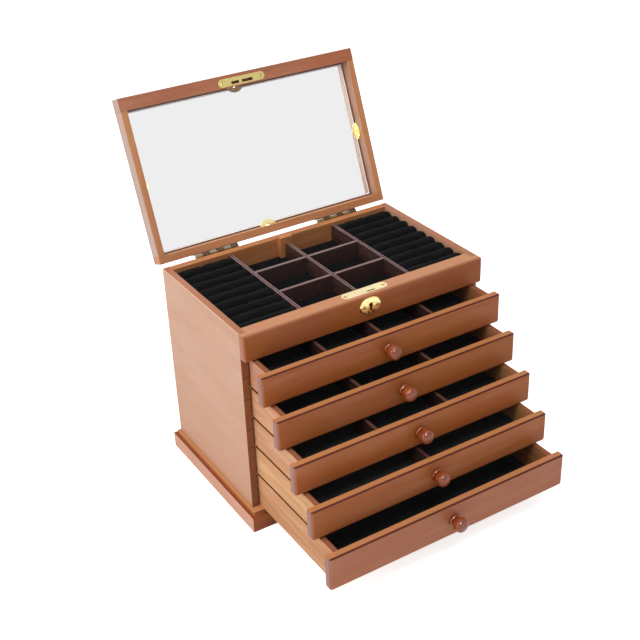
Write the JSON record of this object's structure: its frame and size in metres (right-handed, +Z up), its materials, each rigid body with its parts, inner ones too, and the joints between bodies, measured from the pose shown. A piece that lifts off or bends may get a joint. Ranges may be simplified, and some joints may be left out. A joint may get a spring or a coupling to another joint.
{
  "type": "jewellery box",
  "caption": "Wooden jewellery box with a mirror lid, a tray of ring rolls and compartments, and a stack of pull-out drawers with ball knobs.",
  "frame": {"origin": "centre of the plinth's underside, on the surface the box stands on", "axes": "+Z up; -Y is the front, where the drawers pull out; +X is to the right when seen from the front"},
  "size_m": [0.3128, 0.4408, 0.4156],
  "materials": {
    "case_wood": "satin varnish",
    "front_wood": "satin varnish, reddish stain",
    "drawer_wood": "bare pale timber",
    "knob_wood": "gloss varnish",
    "velvet": "black velvet",
    "divider": "dark velvet-covered board",
    "brass": "polished",
    "dark_brass": "aged",
    "steel": "plain",
    "mirror": "silvered glass"
  },
  "bodies": {
    "case": {"back_panel": "case_wood", "base_panel": "case_wood", "divider_post": "case_wood", "drawer_runners": "drawer_wood", "escutcheon": "brass", "front_rail": "front_wood", "hinge_case_leaves": "dark_brass", "hinge_case_screws": "dark_brass", "hinge_pins": "dark_brass", "lock_case": "steel", "lock_face_plate": "brass", "lock_screws": "brass", "plinth_frame": "case_wood", "ring_rolls_left": "velvet", "ring_rolls_right": "velvet", "side_panel_left": "case_wood", "side_panel_right": "case_wood", "tray_dividers": "divider", "tray_floor": "drawer_wood", "tray_lining": "velvet"},
    "lid": {"lid_front_rail": "case_wood", "lid_rear_rail": "case_wood", "lid_stiles": "case_wood", "lid_top_panel": "case_wood", "mirror": "mirror", "mirror_clips": "brass", "strike_plate": "brass", "lid_brass_screws": "brass", "hinge_lid_leaves": "dark_brass", "hinge_lid_screws": "dark_brass"},
    "bolt": {"lock_bolt": "brass"},
    "drawer_1": {"drawer_1_bottom": "drawer_wood", "drawer_1_dividers": "divider", "drawer_1_front": "front_wood", "drawer_1_knob": "knob_wood", "drawer_1_lining": "velvet", "drawer_1_walls": "drawer_wood"},
    "drawer_2": {"drawer_2_bottom": "drawer_wood", "drawer_2_dividers": "divider", "drawer_2_front": "front_wood", "drawer_2_knob": "knob_wood", "drawer_2_lining": "velvet", "drawer_2_walls": "drawer_wood"},
    "drawer_3": {"drawer_3_bottom": "drawer_wood", "drawer_3_dividers": "divider", "drawer_3_front": "front_wood", "drawer_3_knob": "knob_wood", "drawer_3_lining": "velvet", "drawer_3_walls": "drawer_wood"},
    "drawer_4": {"drawer_4_bottom": "drawer_wood", "drawer_4_dividers": "divider", "drawer_4_front": "front_wood", "drawer_4_knob": "knob_wood", "drawer_4_lining": "velvet", "drawer_4_walls": "drawer_wood"},
    "drawer_5": {"drawer_5_bottom": "drawer_wood", "drawer_5_front": "front_wood", "drawer_5_knob": "knob_wood", "drawer_5_lining": "velvet", "drawer_5_walls": "drawer_wood"}
  },
  "joints": [
    {"name": "lid_hinge", "type": "hinge", "parent": "case", "child": "lid", "pos_m": [0, 0.0935, 0.2407], "axis": [-1, 0, 0], "range_deg": [-111.4, 0]},
    {"name": "drawer_1_slide", "type": "slide", "parent": "case", "child": "drawer_1", "axis": [0, -1, 0], "range_m": [-0.0327, 0.117]},
    {"name": "drawer_2_slide", "type": "slide", "parent": "case", "child": "drawer_2", "axis": [0, -1, 0], "range_m": [-0.0597, 0.09]},
    {"name": "drawer_3_slide", "type": "slide", "parent": "case", "child": "drawer_3", "axis": [0, -1, 0], "range_m": [-0.0887, 0.061]},
    {"name": "drawer_4_slide", "type": "slide", "parent": "case", "child": "drawer_4", "axis": [0, -1, 0], "range_m": [-0.1177, 0.032]},
    {"name": "drawer_5_slide", "type": "slide", "parent": "case", "child": "drawer_5", "axis": [0, -1, 0], "range_m": [-0.1487, 0.001]},
    {"name": "lock_bolt_slide", "type": "slide", "parent": "case", "child": "bolt", "axis": [0, 0, 1], "range_m": [0, 0.005]}
  ]
}
